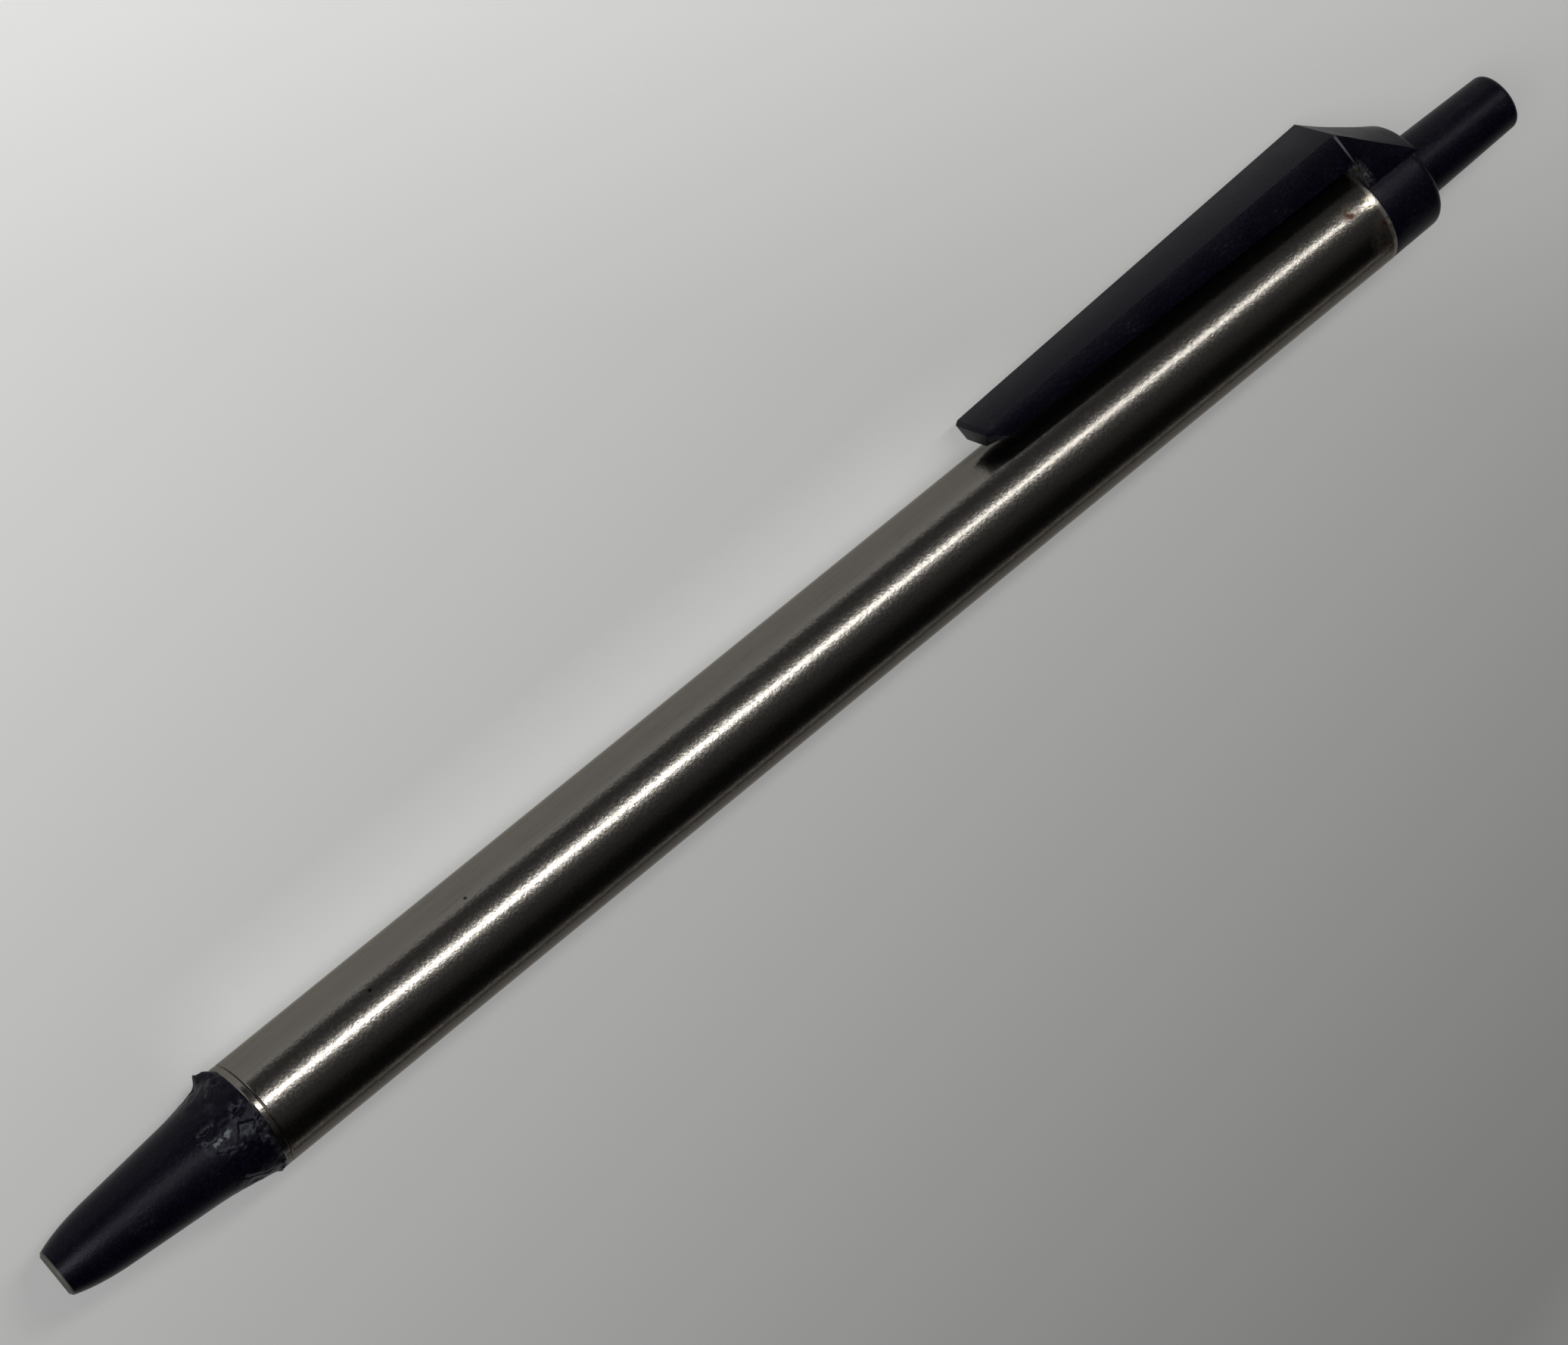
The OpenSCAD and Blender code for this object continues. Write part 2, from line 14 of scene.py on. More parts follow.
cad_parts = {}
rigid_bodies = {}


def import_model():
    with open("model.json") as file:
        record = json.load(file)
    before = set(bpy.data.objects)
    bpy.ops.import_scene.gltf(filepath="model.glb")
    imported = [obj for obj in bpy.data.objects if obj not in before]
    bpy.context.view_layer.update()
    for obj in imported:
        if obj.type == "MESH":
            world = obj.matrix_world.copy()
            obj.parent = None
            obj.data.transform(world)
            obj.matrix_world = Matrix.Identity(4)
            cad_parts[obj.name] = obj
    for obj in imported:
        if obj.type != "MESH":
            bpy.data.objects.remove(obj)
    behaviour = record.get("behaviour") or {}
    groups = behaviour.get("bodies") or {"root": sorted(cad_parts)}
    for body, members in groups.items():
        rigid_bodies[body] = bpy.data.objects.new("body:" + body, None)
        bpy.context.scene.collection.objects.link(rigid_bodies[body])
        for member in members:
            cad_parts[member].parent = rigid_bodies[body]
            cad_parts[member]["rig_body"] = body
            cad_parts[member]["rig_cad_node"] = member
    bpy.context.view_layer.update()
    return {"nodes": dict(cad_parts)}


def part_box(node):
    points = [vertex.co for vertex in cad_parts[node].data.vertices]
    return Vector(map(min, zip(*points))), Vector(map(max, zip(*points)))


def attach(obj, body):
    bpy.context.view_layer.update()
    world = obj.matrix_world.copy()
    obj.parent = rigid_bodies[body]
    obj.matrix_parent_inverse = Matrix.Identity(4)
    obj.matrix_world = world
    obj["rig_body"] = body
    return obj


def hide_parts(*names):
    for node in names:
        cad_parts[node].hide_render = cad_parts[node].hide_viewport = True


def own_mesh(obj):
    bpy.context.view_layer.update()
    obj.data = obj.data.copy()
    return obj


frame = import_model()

nodes = frame["nodes"]
MM = 0.001
MOUTH_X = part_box("nose_cone")[0].x
FLOOR_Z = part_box("barrel_tube")[0].z

# %% [markdown]
# The camera stands where the photograph was taken from: a long lens, about 42 cm away, half above the pen
# and a little towards its nose. It was also turned round its own line of sight, so its three axes are
# written out. Blender's camera looks along its own -Z, so the third axis points back at the viewer.

# %% Camera
FRAME_W, FOCAL_PX = 2072, 7814
EYE = Vector((-0.140785, 0.229563, 0.328168))
right = Vector((0.7336, -0.3741, 0.5674)).normalized()
back = Vector((-0.3240, 0.5413, 0.7758)).normalized()
up = back.cross(right).normalized()
right = up.cross(back)

lens = bpy.data.cameras.new("camera")
lens.sensor_fit = "HORIZONTAL"
lens.sensor_width = 36
lens.lens = lens.sensor_width * FOCAL_PX / FRAME_W
lens.clip_start = 0.01
camera = bpy.data.objects.new("camera", lens)
bpy.context.scene.collection.objects.link(camera)
turn = Matrix((right, up, back)).transposed().to_4x4()
camera.matrix_world = Matrix.Translation(EYE) @ turn
bpy.context.scene.camera = camera
bpy.context.scene.view_settings.view_transform = "Standard"
print("lens", round(lens.lens, 1), "mm")

# %% [markdown]
# Every finish below is one Principled shader with a few nodes in front of it. Such nodes could be drawn one
# by one, but the same few kinds come back, so small helpers keep them short: one adds any node with its
# settings and links, and the others are the usual steps of mixing and counting.

# %% Helpers for nodes
PLAIN_NUMBERS = ("LENGTH", "DISTANCE", "DOT_PRODUCT")


def add(tree, kind, settings=None, **inputs):
    """Adds a node; an input, named or numbered as i0, may be a value or another node's output socket."""
    node = tree.nodes.new(kind)
    for name, value in (settings or {}).items():
        setattr(node, name, value)
    for name, value in inputs.items():
        numbered = name[0] == "i" and name[1:].isdigit()
        socket = node.inputs[int(name[1:]) if numbered else name]
        if isinstance(value, bpy.types.NodeSocket):
            tree.links.new(value, socket)
        else:
            socket.default_value = value
    return node


def blend(tree, share, first, second):
    """Colour between two colours or colour sockets."""
    first, second = [c if isinstance(c, bpy.types.NodeSocket) else (*c, 1) for c in (first, second)]
    return add(tree, "ShaderNodeMix", {"data_type": "RGBA"}, i0=share, i6=first, i7=second).outputs[2]


def span(tree, value, start, end, low=0.0, high=1.0):
    """Stretches a value from start..end to low..high and stops there."""
    return add(tree, "ShaderNodeMapRange", None, i0=value, i1=start, i2=end, i3=low, i4=high).outputs[0]


def sums(tree, how, first, second):
    """One step of arithmetic with numbers."""
    return add(tree, "ShaderNodeMath", {"operation": how}, i0=first, i1=second).outputs[0]


def vectors(tree, how, first, second=(0, 0, 0)):
    """One step of arithmetic with places or directions."""
    outputs = add(tree, "ShaderNodeVectorMath", {"operation": how}, i0=first, i1=second).outputs
    return outputs["Value" if how in PLAIN_NUMBERS else "Vector"]


def between(tree, value, rise, fall):
    """A mask that goes up over the range rise, stays 1 and goes down again over the range fall."""
    return sums(tree, "MULTIPLY", span(tree, value, *rise), span(tree, value, *fall, 1.0, 0.0))


# %% [markdown]
# A material starts with the same steps each time, and so does giving it to a piece. A number that is the
# same all over a surface goes straight onto the shader's own socket, and what changes over the surface is
# led in through a link. The patterns read Object coordinates, which don't slide when a piece moves.

# %% Helpers for finishes
def new_finish(name, plain):
    """Starts a material: its shader with the plain sockets set, its node tree and its object coordinates."""
    material = bpy.data.materials.new(name)
    material.use_nodes = True
    tree = material.node_tree
    shader = tree.nodes["Principled BSDF"]
    for socket, value in plain.items():
        shader.inputs[socket].default_value = value
    place = tree.nodes.new("ShaderNodeTexCoord").outputs["Object"]
    return material, tree, shader, place


def lead(tree, shader, colour, roughness=None, height=None, depth=0.0):
    """Leads a colour, a roughness and a bump height into a shader; depth is the bump's height in metres."""
    tree.links.new(colour, shader.inputs["Base Color"])
    if roughness is not None:
        tree.links.new(roughness, shader.inputs["Roughness"])
    if height is not None:
        bump = add(tree, "ShaderNodeBump", None, Strength=1.0, Distance=depth, Height=height)
        tree.links.new(bump.outputs["Normal"], shader.inputs["Normal"])


def wear(piece, material):
    """Gives a piece its finish."""
    piece.data.materials.clear()
    piece.data.materials.append(material)


# %% [markdown]
# The pen lies on plain pale paper. A large plane in a slightly mottled off-white does for it: the lamps give
# it its grey, and the steel reflects it on both sides. Its colour is painted paler on the lamps' side and
# darker on the other: a painted falloff of the lamps' light.

# %% Paper
PAPER_PAINTED_SHADE, PAPER_PAINTED_LIGHT, FIBRE_GREY = (0.19, 0.19, 0.188), (0.345, 0.345, 0.342), (0.14, 0.14, 0.14)
TO_LAMPS = (-0.17, 1.0, 0.0)

bpy.ops.object.select_all(action="DESELECT")
bpy.ops.mesh.primitive_plane_add(size=6, location=(0, 0, FLOOR_Z))
paper = bpy.context.object
paper.name = "paper"
material, tree, shader, place = new_finish(
    "paper", {"Roughness": 0.8, "Specular IOR Level": 0.2, "Emission Color": (1, 1, 0.99, 1)})
fibre = add(tree, "ShaderNodeTexNoise", None, Vector=place, Scale=1400.0, Detail=4.0).outputs["Fac"]
# Painted light falloff: a share that is 1 towards the lamps and 0 away from them.
painted_falloff = sums(tree, "POWER", span(tree, vectors(tree, "DOT_PRODUCT", place, TO_LAMPS), -0.125, 0.095), 1.5)
painted_falloff_tint = blend(tree, painted_falloff, PAPER_PAINTED_SHADE, PAPER_PAINTED_LIGHT)
lead(tree, shader, blend(tree, span(tree, fibre, 0.0, 1.0, 0.0, 0.06), painted_falloff_tint, FIBRE_GREY))
wear(paper, material)
print("paper at", round(FLOOR_Z / MM, 2), "mm")

# %% [markdown]
# Some of the paper's paleness is a glow that only the eye and reflections see (Light Path), so the paper can
# be pale without more light on the pen. As painted light it grows with the paper's painted falloff and
# towards the top of the picture. Beside the tube it is a painted caustic, for the light that the steel throws
# back onto the paper. Far out it takes over from the lamps, which stand close to the pen.

# %% Glow of the paper
TO_TOP = (0.62, 0.78, 0.0)
GLOW_DARK, GLOW_PALE, GLOW_TOP, GLOW_THROWN, GLOW_FAR_OUT = 0.095, 0.5, 0.075, 0.085, 0.6

ray = tree.nodes.new("ShaderNodeLightPath").outputs
seen = sums(tree, "MAXIMUM", ray["Is Glossy Ray"], ray["Is Transmission Ray"])
seen = sums(tree, "MAXIMUM", ray["Is Camera Ray"], seen)
# Painted light: the glow rises towards the top of the picture.
top = span(tree, vectors(tree, "DOT_PRODUCT", place, TO_TOP), 0.022, 0.05, 0.0, GLOW_TOP)
glow = sums(tree, "ADD", span(tree, painted_falloff, 0.0, 1.0, GLOW_DARK, GLOW_PALE), top)
over = add(tree, "ShaderNodeSeparateXYZ", None, i0=place).outputs
# Painted caustic beside the tube: a pool of light where the steel throws light back.
thrown = sums(tree, "MULTIPLY", between(tree, over["Y"], (0.0015, 0.0035), (0.0045, 0.0105)),
              between(tree, over["X"], (-0.058, -0.050), (0.012, 0.030)))
glow = sums(tree, "ADD", glow, sums(tree, "MULTIPLY", thrown, GLOW_THROWN))
glow = span(tree, vectors(tree, "LENGTH", place), 0.105, 0.22, glow, GLOW_FAR_OUT)
tree.links.new(sums(tree, "MULTIPLY", seen, glow), shader.inputs["Emission Strength"])
material.cycles.emission_sampling = "NONE"
print("glow of the paper from", GLOW_DARK, "to", GLOW_FAR_OUT)

# %% [markdown]
# A steel tube is a mirror wrapped round a line, so the lamps are placed for what the tube shows. A long strip
# beside the camera gives the white streak along its middle: it is wide near the nose and thin towards the
# cap, as the streak is. A broad dim panel on the nose's side lights the paper and the black mouldings; the
# tube never mirrors it, because a tube lying along X only mirrors what lies as far along it as the camera
# lies the other way. A low strip on the far side draws the line near the tube's lower edge.

# %% Lamps
WHITE, COOL_WHITE, WARM_WHITE = (1.0, 0.99, 0.965), (0.98, 0.99, 1.0), (1.0, 0.96, 0.9)


def strip(name, start, end, width, watts, colour):
    """An area lamp from one point beside the pen to another, its face turned towards the pen's axis."""
    start, end = Vector(start), Vector(end)
    along = (end - start).normalized()
    middle = (start + end) / 2
    outward = Vector((0, middle.y, middle.z))
    outward = (outward - along * outward.dot(along)).normalized()
    lamp = bpy.data.lights.new(name, "AREA")
    lamp.shape = "RECTANGLE"
    lamp.size, lamp.size_y = (end - start).length, width
    lamp.energy = watts
    lamp.color = colour
    stand = bpy.data.objects.new(name, lamp)
    bpy.context.scene.collection.objects.link(stand)
    facing = Matrix((along, outward.cross(along), outward)).transposed().to_4x4()
    stand.matrix_world = Matrix.Translation(middle) @ facing


def beside(x, angle, distance):
    """A place beside the pen's axis, its angle counted from straight up towards +Y."""
    return (x, distance * sin(radians(angle)), distance * cos(radians(angle)))


# Name, both ends, width in metres, watts, colour.
strip("streak_wide", beside(-0.03, 38.8, 0.28), beside(0.09, 38.8, 0.28), 0.030, 0.21, WHITE)
strip("streak_thin", beside(0.09, 38.6, 0.28), beside(0.45, 38.6, 0.34), 0.014, 0.31, WHITE)
strip("broad_panel", beside(-0.52, 32, 0.43), beside(-0.12, 32, 0.43), 0.20, 1.3, COOL_WHITE)
strip("low_line", beside(0.0, -76, 0.7), beside(0.6, -76, 0.7), 0.025, 0.075, WARM_WHITE)
print(len(bpy.data.lights), "lamps")

# %% [markdown]
# The rest of the room is dark, and darker on the far side, away from the lamps. That gives the tube its two
# black bands. The room's colour is read from the direction that a ray leaves in.

# %% Room
FAR_WALL, NEAR_WALL = (0.006, 0.006, 0.006), (0.055, 0.054, 0.054)

room = bpy.data.worlds.new("room")
bpy.context.scene.world = room
room.use_nodes = True
tree = room.node_tree
heading = tree.nodes.new("ShaderNodeTexCoord").outputs["Generated"]
sideways = add(tree, "ShaderNodeSeparateXYZ", None, i0=heading).outputs["Y"]
near = add(tree, "ShaderNodeMapRange", {"interpolation_type": "SMOOTHSTEP"}, i0=sideways, i1=-0.5, i2=0.0)
tree.links.new(blend(tree, near.outputs[0], FAR_WALL, NEAR_WALL), tree.nodes["Background"].inputs["Color"])
print("room", room.name)

# %% [markdown]
# Two effects come back in most of the finishes, so each is a node group. The first, "grain", is a fine random
# relief, as spark-eroded moulds leave on plastic and rolling leaves on metal, with a slow patchiness for
# handling. Two Noise textures make it, the second much larger than the first.

# %% Grain
def new_effect(name, numbers, results):
    """Starts a node group with a Place input, number inputs and value outputs."""
    effect = bpy.data.node_groups.new(name, "ShaderNodeTree")
    effect.interface.new_socket("Place", in_out="INPUT", socket_type="NodeSocketVector")
    for number in numbers:
        effect.interface.new_socket(number, in_out="INPUT", socket_type="NodeSocketFloat")
    for result in results:
        effect.interface.new_socket(result, in_out="OUTPUT", socket_type="NodeSocketFloat")
    return effect, effect.nodes.new("NodeGroupInput").outputs, effect.nodes.new("NodeGroupOutput").inputs


grain, given, out = new_effect("grain", ["Size"], ["Height", "Patch"])
fine = add(grain, "ShaderNodeTexNoise", None, Vector=given["Place"], Scale=given["Size"], Detail=2.0)
slow_size = sums(grain, "MULTIPLY", given["Size"], 0.07)
slow = add(grain, "ShaderNodeTexNoise", None, Vector=given["Place"], Scale=slow_size, Detail=3.0)
grain.links.new(fine.outputs["Fac"], out["Height"])
grain.links.new(span(grain, slow.outputs["Fac"], 0.3, 0.7), out["Patch"])


def grained(tree, place, size):
    """Places the grain in a material; size is how many bumps go into a metre."""
    return add(tree, "ShaderNodeGroup", {"node_tree": grain}, Place=place, Size=size).outputs


print("effect", grain.name, "with", len(grain.nodes), "nodes")

# %% [markdown]
# The second effect, "lines", are hairlines: long ones where metal was drawn through a die, rings where a
# point was turned. A scratch could be drawn one at a time, but a Noise texture that is stretched one way has
# thin lines all over it, wherever its value passes its middle.

# %% Hairlines
lines, given, out = new_effect("lines", ["Along", "Across", "Width"], ["Mask", "Height"])
scale = add(lines, "ShaderNodeCombineXYZ", None, X=given["Along"], Y=given["Across"], Z=given["Across"])
drawn = vectors(lines, "MULTIPLY", given["Place"], scale.outputs[0])
wave = add(lines, "ShaderNodeTexNoise", None, Vector=drawn, Scale=1.0, Detail=2.0).outputs["Fac"]
off_middle = sums(lines, "ABSOLUTE", sums(lines, "SUBTRACT", wave, 0.5), 0.0)
lines.links.new(sums(lines, "SUBTRACT", 1.0, span(lines, off_middle, 0.0, given["Width"])), out["Mask"])
lines.links.new(wave, out["Height"])


def lined(tree, place, along, across, width):
    """Places the hairlines in a material; along and across are how many go into a metre."""
    return add(tree, "ShaderNodeGroup", {"node_tree": lines},
               Place=place, Along=along, Across=across, Width=width).outputs


print("effect", lines.name, "with", len(lines.nodes), "nodes")

# %% [markdown]
# A few rust stains, a rubbed place that is also painted bright as a glint, and two dark specks sit on the
# tube where they are on the real one. They could be painted on an image, but masks round points on the tube
# are sharp at any distance. So each spot is a row of numbers, and its mask is read from how far a place is
# from it.

# %% Spots on the steel
TUBE_R = 4.25
# Rows of spots: mm behind the mouth, degrees from straight up towards +Y, mm radius, mm of soft edge.
RUST_SPOTS = [(125.1, -6, 0.3, 1.2), (125.7, 8, 0.2, 1.0), (125.6, -18, 0.2, 0.9), (123.7, 40, 0.3, 0.7)]
RUBBED_GLINT_SPOTS = [(125.7, 36, 0.2, 0.6)]
SPECK_SPOTS = [(28.9, 56, 0.08, 0.1), (38.4, 68, 0.08, 0.1)]


def spots(tree, place, rows):
    """A mask that is 1 on the spots and fades to 0 round them."""
    mask = 0.0
    for z, angle, size, soft in rows:
        turn = radians(angle)
        middle = Vector((MOUTH_X + z * MM, TUBE_R * MM * sin(turn), TUBE_R * MM * cos(turn)))
        away = vectors(tree, "DISTANCE", place, middle)
        mask = sums(tree, "MAXIMUM", mask, span(tree, away, size * MM, (size + soft) * MM, 1.0, 0.0))
    return mask


print(len(RUST_SPOTS), "rust stains,", len(RUBBED_GLINT_SPOTS), "rubbed place,", len(SPECK_SPOTS), "specks")

# %% [markdown]
# The barrel's steel is drawn and then only lightly polished, and it carries years of pockets: dark, warm and
# a little dull. The streak's edge sparkles, so a fine grain goes into the roughness and the bump. The rim at
# the cap's end is rubbed, and its colour is painted brighter as a highlight. Each kind of wear and each
# painted highlight is a mask first, and the colours are laid over each other, the wear in the order it came
# onto the steel.

# %% Steel
STEEL_PALE, STEEL_DARK, HAIRLINE = (0.214, 0.203, 0.182), (0.200, 0.187, 0.176), (0.15, 0.135, 0.12)
RUST, RUBBED_GLINT_TINT, SPECK = (0.052, 0.024, 0.013), (0.85, 0.78, 0.62), (0.03, 0.028, 0.03)
RIM_WEAR_AND_HIGHLIGHT = (0.46, 0.44, 0.41)
TUBE_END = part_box("barrel_tube")[1].x

# The dark Specular Tint is painted shade: it dims the steel's grazing reflections, for the paper's contact
# shadow.
steel, tree, shader, place = new_finish("drawn_steel", {"Specular Tint": (0.62, 0.60, 0.56, 1)})
rolled = grained(tree, place, 4400.0)["Height"]
cloudy = grained(tree, place, 700.0)["Height"]
blotch = grained(tree, place, 1700.0)["Height"]
hair = lined(tree, place, 60.0, 2400.0, 0.03)["Mask"]
along = add(tree, "ShaderNodeSeparateXYZ", None, i0=place).outputs["X"]
rust = sums(tree, "MULTIPLY", spots(tree, place, RUST_SPOTS), span(tree, blotch, 0.36, 0.56, 0.2, 1.0))
rubbed_glint = sums(tree, "MULTIPLY", spots(tree, place, RUBBED_GLINT_SPOTS), span(tree, rolled, 0.3, 0.5))
rim_wear_and_highlight = span(tree, along, TUBE_END - 0.55 * MM, TUBE_END - 0.2 * MM)
rim_highlight_cloud = sums(tree, "MULTIPLY", rim_wear_and_highlight, span(tree, cloudy, 0.35, 0.6, 0.4, 1.0))

tint = blend(tree, cloudy, STEEL_PALE, STEEL_DARK)
tint = blend(tree, sums(tree, "MULTIPLY", hair, 0.35), tint, HAIRLINE)
tint = blend(tree, rust, tint, RUST)
# Rubbed place, painted bright as a glint.
tint = blend(tree, rubbed_glint, tint, RUBBED_GLINT_TINT)
tint = blend(tree, spots(tree, place, SPECK_SPOTS), tint, SPECK)
# Rim at the cap's end: rubbed, and painted brighter as a highlight.
tint = blend(tree, rim_highlight_cloud, tint, RIM_WEAR_AND_HIGHLIGHT)
dull = sums(tree, "ADD", span(tree, rolled, 0.3, 0.7, 0.20, 0.25), sums(tree, "MULTIPLY", rim_wear_and_highlight, 0.12))
dull = sums(tree, "ADD", dull, sums(tree, "MULTIPLY", rust, 0.15))
tree.links.new(span(tree, rust, 0.0, 1.0, 1.0, 0.8), shader.inputs["Metallic"])
lead(tree, shader, tint, dull, rolled, 0.012 * MM)
print("finish", steel.name, "with", len(tree.nodes), "nodes")

# %% [markdown]
# The clip's root has a painted highlight along the crease where it bends, and a rubbed patch beside the tube.
# Both are strokes from one place to another, so one mask does for both: it is read from how far a place is
# from the line between the two ends.

# %% Painted crease highlight and scuff at the clip's root
# Both ends in mm, width in mm.
ROOT_CREASE_HIGHLIGHT = ((53.9, 8.1, 1.98), (54.45, 4.7, 1.98), 0.13)
ROOT_PATCH = ((54.3, 5.0, 1.9), (54.6, 3.8, 2.6), 0.7)
FLAT = Vector((1.0, 1.0, 0.2))


def stroke(tree, place, start, end, width):
    """A mask that is 1 along a stroke between two places in mm and fades to 0; heights count a fifth. It
    draws the painted crease highlight and the scuff.
    """
    start, end = Vector(start) * FLAT * MM, Vector(end) * FLAT * MM
    course, length, edge = (end - start).normalized(), (end - start).length, width * MM
    off = vectors(tree, "SUBTRACT", vectors(tree, "MULTIPLY", place, FLAT), start)
    run = vectors(tree, "DOT_PRODUCT", off, course)
    away = vectors(tree, "LENGTH", vectors(tree, "CROSS_PRODUCT", off, course))
    ends = between(tree, run, (-edge, edge), (length - edge, length + edge))
    return sums(tree, "MULTIPLY", ends, span(tree, away, 0.4 * edge, edge, 1.0, 0.0))


print("crease of", round((Vector(ROOT_CREASE_HIGHLIGHT[1]) - Vector(ROOT_CREASE_HIGHLIGHT[0])).length, 2), "mm")

# %% [markdown]
# Cap, clip, button and nose are moulded in the same black plastic. It is nearly black with a cold tinge; what
# shows is its gloss, broken up by the mould's grain and by scuffs. The nose has tooth marks instead of the
# clip's painted crease highlight and scuff: they are stored on its points as an attribute called "bite"
# further down, and the plastic there is paler, partly bruised and partly a painted glint on the marks'
# facets. So one function makes both finishes, with the marks of the one or of the other.

# %% Black plastic
BLACK_DEEP, BLACK_GRAIN, SCUFFED = (0.0011, 0.0009, 0.0030), (0.0050, 0.0043, 0.0140), (0.030, 0.031, 0.036)
BRUISE_AND_GLINT, MOUTH_EDGE_PALE, CREASE_HIGHLIGHT_AND_SCUFF = (0.200, 0.215, 0.230), (0.125, 0.130, 0.112), (0.105, 0.100, 0.098)
BLACK_PLAIN = {"Specular IOR Level": 0.15, "Specular Tint": (0.86, 0.86, 1.0, 1)}


def black_finish(name, low, high, bitten):
    """Black plastic whose roughness lies between low and high, with the nose's or the cap's own marks."""
    material, tree, shader, place = new_finish(name, BLACK_PLAIN)
    skin = grained(tree, place, 5000.0)
    scuff = lined(tree, place, 500.0, 2600.0, 0.02)["Mask"]
    scuff = sums(tree, "MULTIPLY", scuff, span(tree, skin["Patch"], 0.45, 1.0, 0.0, 0.4))
    tint = blend(tree, span(tree, skin["Height"], 0.5, 0.72), BLACK_DEEP, BLACK_GRAIN)
    tint = blend(tree, scuff, tint, SCUFFED)
    dull = span(tree, skin["Patch"], 0.0, 1.0, low, high)
    if bitten:
        bite = add(tree, "ShaderNodeAttribute", {"attribute_name": "bite"}).outputs["Fac"]
        # Bite marks: bruised plastic is paler, and the paleness also paints a glint on the marks' facets.
        pale = sums(tree, "MULTIPLY", bite, span(tree, skin["Height"], 0.3, 0.65, 0.35, 1.0))
        tint = blend(tree, pale, tint, BRUISE_AND_GLINT)
        dull = sums(tree, "SUBTRACT", dull, sums(tree, "MULTIPLY", bite, 0.12))
        # The mouth's edge is made paler.
        pale_mouth_edge = add(tree, "ShaderNodeAttribute", {"attribute_name": "pale_mouth_edge"}).outputs["Fac"]
        tint = blend(tree, pale_mouth_edge, tint, MOUTH_EDGE_PALE)
    else:
        # Painted highlight along the root's crease, and a rubbed patch beside the tube, in one pale tint.
        crease_highlight = stroke(tree, place, *ROOT_CREASE_HIGHLIGHT)
        patch = stroke(tree, place, *ROOT_PATCH)
        patch = sums(tree, "MULTIPLY", patch, span(tree, skin["Height"], 0.42, 0.6, 0.15, 0.8))
        tint = blend(tree, sums(tree, "MAXIMUM", crease_highlight, patch), tint, CREASE_HIGHLIGHT_AND_SCUFF)
    lead(tree, shader, tint, dull, skin["Height"], 0.017 * MM)
    return material


black = black_finish("black_moulding", 0.36, 0.44, False)
black_bitten = black_finish("bitten_black", 0.34, 0.42, True)
print("finishes", black.name, black_bitten.name)

# %% [markdown]
# Inside, the sleeve, the plunger, the cam and the point's holder are unpainted acetal: milky, waxy and a
# little cloudy. Spring, point and ball are metal: drawn wire, brass with the rings of the turning tool, and
# a dark hard ball with very fine pits. Each takes the shared grain or lines at its own size.

# %% Inner plastics and metals
acetal, tree, shader, place = new_finish("milky_acetal", {"Specular IOR Level": 0.45})
flow = grained(tree, place, 3000.0)
lead(tree, shader, blend(tree, flow["Patch"], (0.60, 0.60, 0.575), (0.68, 0.68, 0.665)),
     span(tree, flow["Height"], 0.2, 0.8, 0.36, 0.48), flow["Height"], 0.006 * MM)

wire, tree, shader, place = new_finish("spring_steel", {"Metallic": 1.0})
die = grained(tree, place, 6000.0)
lead(tree, shader, blend(tree, die["Patch"], (0.42, 0.41, 0.40), (0.56, 0.555, 0.55)),
     span(tree, die["Height"], 0.3, 0.7, 0.18, 0.3), die["Height"], 0.002 * MM)

brass, tree, shader, place = new_finish("turned_brass", {"Metallic": 1.0})
turning = lined(tree, place, 22000.0, 30.0, 0.06)["Height"]
film = grained(tree, place, 4000.0)["Patch"]
lead(tree, shader, blend(tree, film, (0.62, 0.44, 0.19), (0.70, 0.53, 0.26)),
     span(tree, turning, 0.3, 0.7, 0.2, 0.34), turning, 0.0015 * MM)

carbide, tree, shader, place = new_finish("ball_carbide", {"Metallic": 1.0})
pits = grained(tree, place, 24000.0)["Height"]
lead(tree, shader, blend(tree, pits, (0.26, 0.26, 0.27), (0.38, 0.38, 0.39)),
     span(tree, pits, 0.3, 0.7, 0.12, 0.26), pits, 0.0006 * MM)
print("finishes", acetal.name, wire.name, brass.name, carbide.name)

# %% [markdown]
# The refill's tube is clear plastic, so it keeps a plain transmission. The ink is a thick dark blue paste and
# the grease behind it a honey-coloured plug; both wet the tube unevenly, so their gloss is patchy. The three
# differ only in their numbers, so one loop makes them.

# %% Refill finishes
# Name, plain sockets, size of the grain, two colours, two roughnesses.
REFILL = [
    ("clear_tube", {"Transmission Weight": 0.85, "IOR": 1.49}, 1800.0,
     (0.90, 0.92, 0.93), (0.95, 0.96, 0.97), 0.10, 0.2),
    ("ink_paste", {"Coat Weight": 0.3}, 1500.0,
     (0.004, 0.006, 0.030), (0.008, 0.012, 0.055), 0.14, 0.26),
    ("honey_grease", {"Transmission Weight": 0.35}, 2200.0,
     (0.58, 0.47, 0.20), (0.70, 0.60, 0.33), 0.2, 0.34)]
refill_finishes = []
for name, plain, size, dark, pale, low, high in REFILL:
    material, tree, shader, place = new_finish(name, plain)
    wet = grained(tree, place, size)
    lead(tree, shader, blend(tree, wet["Patch"], dark, pale),
         span(tree, wet["Height"], 0.3, 0.7, low, high))
    refill_finishes.append(material)
clear, ink, grease = refill_finishes
print("finishes", clear.name, ink.name, grease.name)

